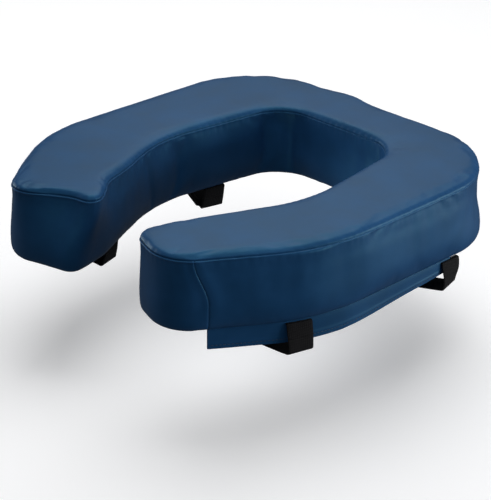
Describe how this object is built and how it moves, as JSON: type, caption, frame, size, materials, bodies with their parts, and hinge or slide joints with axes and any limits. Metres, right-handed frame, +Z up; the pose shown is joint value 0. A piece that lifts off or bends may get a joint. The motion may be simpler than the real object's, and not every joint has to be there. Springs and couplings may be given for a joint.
{
  "type": "raised toilet seat",
  "caption": "Padded horseshoe toilet seat riser: foam core in a sewn vinyl cover with side skirts, held to the seat ring by hook and loop webbing straps.",
  "frame": {"origin": "on the underside that rests on the toilet's seat ring, at the middle of the rear band", "axes": "+Z up, +Y towards the rear (tank side), -Y towards the open end, +X to the right seen from the front"},
  "size_m": [0.3666, 0.39, 0.1019],
  "materials": {
    "navy_vinyl": "semi-matte smooth vinyl",
    "underside_vinyl": "semi-matte smooth vinyl",
    "foam": "open-cell polyurethane foam",
    "webbing": "woven polypropylene webbing",
    "hook_tape": "moulded nylon hooks",
    "loop_tape": "brushed nylon loops"
  },
  "bodies": {
    "cushion": {"foam_core": "foam", "top_panel": "navy_vinyl", "outer_side_band": "navy_vinyl", "inner_side_band": "navy_vinyl", "bottom_panel": "underside_vinyl", "right_skirt": "navy_vinyl", "left_skirt": "navy_vinyl"},
    "right_front_outer_strap": {"right_front_outer_strap": "webbing"},
    "right_front_outer_tail": {"right_front_outer_tail": "webbing", "right_front_hook_patch": "hook_tape"},
    "right_front_inner_strap": {"right_front_inner_strap": "webbing"},
    "right_front_inner_tail": {"right_front_inner_tail": "webbing", "right_front_loop_patch": "loop_tape"},
    "right_rear_outer_strap": {"right_rear_outer_strap": "webbing"},
    "right_rear_outer_tail": {"right_rear_outer_tail": "webbing", "right_rear_hook_patch": "hook_tape"},
    "right_rear_inner_strap": {"right_rear_inner_strap": "webbing"},
    "right_rear_inner_tail": {"right_rear_inner_tail": "webbing", "right_rear_loop_patch": "loop_tape"},
    "left_front_outer_strap": {"left_front_outer_strap": "webbing"},
    "left_front_outer_tail": {"left_front_outer_tail": "webbing", "left_front_hook_patch": "hook_tape"},
    "left_front_inner_strap": {"left_front_inner_strap": "webbing"},
    "left_front_inner_tail": {"left_front_inner_tail": "webbing", "left_front_loop_patch": "loop_tape"},
    "left_rear_outer_strap": {"left_rear_outer_strap": "webbing"},
    "left_rear_outer_tail": {"left_rear_outer_tail": "webbing", "left_rear_hook_patch": "hook_tape"},
    "left_rear_inner_strap": {"left_rear_inner_strap": "webbing"},
    "left_rear_inner_tail": {"left_rear_inner_tail": "webbing", "left_rear_loop_patch": "loop_tape"}
  },
  "joints": [
    {"name": "right_front_outer_swing", "type": "hinge", "parent": "cushion", "child": "right_front_outer_strap", "pos_m": [0.16267, -0.26239, -0.001], "axis": [-0.3748, -0.9271, 0], "range_deg": [0, 110]},
    {"name": "right_front_outer_fold", "type": "hinge", "parent": "right_front_outer_strap", "child": "right_front_outer_tail", "pos_m": [0.16739, -0.26431, -0.0272], "axis": [0.0807, -0.9967, 0], "range_deg": [0, 90]},
    {"name": "right_front_inner_swing", "type": "hinge", "parent": "cushion", "child": "right_front_inner_strap", "pos_m": [0.06878, -0.27047, -0.001], "axis": [0.3812, 0.9245, 0], "range_deg": [0, 18]},
    {"name": "right_front_inner_fold", "type": "hinge", "parent": "right_front_inner_strap", "child": "right_front_inner_tail", "pos_m": [0.07248, -0.272, -0.0237], "axis": [-0.0807, 0.9967, 0], "range_deg": [0, 54]},
    {"name": "right_rear_outer_swing", "type": "hinge", "parent": "cushion", "child": "right_rear_outer_strap", "pos_m": [0.1764, -0.0705, -0.001], "axis": [0, -1, 0], "range_deg": [0, 110]},
    {"name": "right_rear_outer_fold", "type": "hinge", "parent": "right_rear_outer_strap", "child": "right_rear_outer_tail", "pos_m": [0.177, -0.0705, -0.0272], "axis": [0.4534, -0.8913, 0], "range_deg": [0, 90]},
    {"name": "right_rear_inner_swing", "type": "hinge", "parent": "cushion", "child": "right_rear_inner_strap", "pos_m": [0.09131, -0.11262, -0.001], "axis": [-0.1379, 0.9904, 0], "range_deg": [0, 18]},
    {"name": "right_rear_inner_fold", "type": "hinge", "parent": "right_rear_inner_strap", "child": "right_rear_inner_tail", "pos_m": [0.09528, -0.11207, -0.0237], "axis": [-0.4534, 0.8913, 0], "range_deg": [0, 54]},
    {"name": "left_front_outer_swing", "type": "hinge", "parent": "cushion", "child": "left_front_outer_strap", "pos_m": [-0.16267, -0.26239, -0.001], "axis": [-0.3748, 0.9271, 0], "range_deg": [0, 110]},
    {"name": "left_front_outer_fold", "type": "hinge", "parent": "left_front_outer_strap", "child": "left_front_outer_tail", "pos_m": [-0.16739, -0.26431, -0.0272], "axis": [0.0807, 0.9967, 0], "range_deg": [0, 90]},
    {"name": "left_front_inner_swing", "type": "hinge", "parent": "cushion", "child": "left_front_inner_strap", "pos_m": [-0.06878, -0.27047, -0.001], "axis": [0.3812, -0.9245, 0], "range_deg": [0, 18]},
    {"name": "left_front_inner_fold", "type": "hinge", "parent": "left_front_inner_strap", "child": "left_front_inner_tail", "pos_m": [-0.07248, -0.272, -0.0237], "axis": [-0.0807, -0.9967, 0], "range_deg": [0, 54]},
    {"name": "left_rear_outer_swing", "type": "hinge", "parent": "cushion", "child": "left_rear_outer_strap", "pos_m": [-0.1764, -0.0705, -0.001], "axis": [0, 1, 0], "range_deg": [0, 110]},
    {"name": "left_rear_outer_fold", "type": "hinge", "parent": "left_rear_outer_strap", "child": "left_rear_outer_tail", "pos_m": [-0.177, -0.0705, -0.0272], "axis": [0.4534, 0.8913, 0], "range_deg": [0, 90]},
    {"name": "left_rear_inner_swing", "type": "hinge", "parent": "cushion", "child": "left_rear_inner_strap", "pos_m": [-0.09131, -0.11262, -0.001], "axis": [-0.1379, -0.9904, 0], "range_deg": [0, 18]},
    {"name": "left_rear_inner_fold", "type": "hinge", "parent": "left_rear_inner_strap", "child": "left_rear_inner_tail", "pos_m": [-0.09528, -0.11207, -0.0237], "axis": [-0.4534, -0.8913, 0], "range_deg": [0, 54]}
  ],
  "couplings": [
    {"joint": "right_front_inner_swing", "follows": "right_front_outer_fold", "ratio": 0.2},
    {"joint": "right_front_inner_fold", "follows": "right_front_outer_fold", "ratio": 0.6},
    {"joint": "right_rear_inner_swing", "follows": "right_rear_outer_fold", "ratio": 0.2},
    {"joint": "right_rear_inner_fold", "follows": "right_rear_outer_fold", "ratio": 0.6},
    {"joint": "left_front_inner_swing", "follows": "left_front_outer_fold", "ratio": 0.2},
    {"joint": "left_front_inner_fold", "follows": "left_front_outer_fold", "ratio": 0.6},
    {"joint": "left_rear_inner_swing", "follows": "left_rear_outer_fold", "ratio": 0.2},
    {"joint": "left_rear_inner_fold", "follows": "left_rear_outer_fold", "ratio": 0.6}
  ]
}
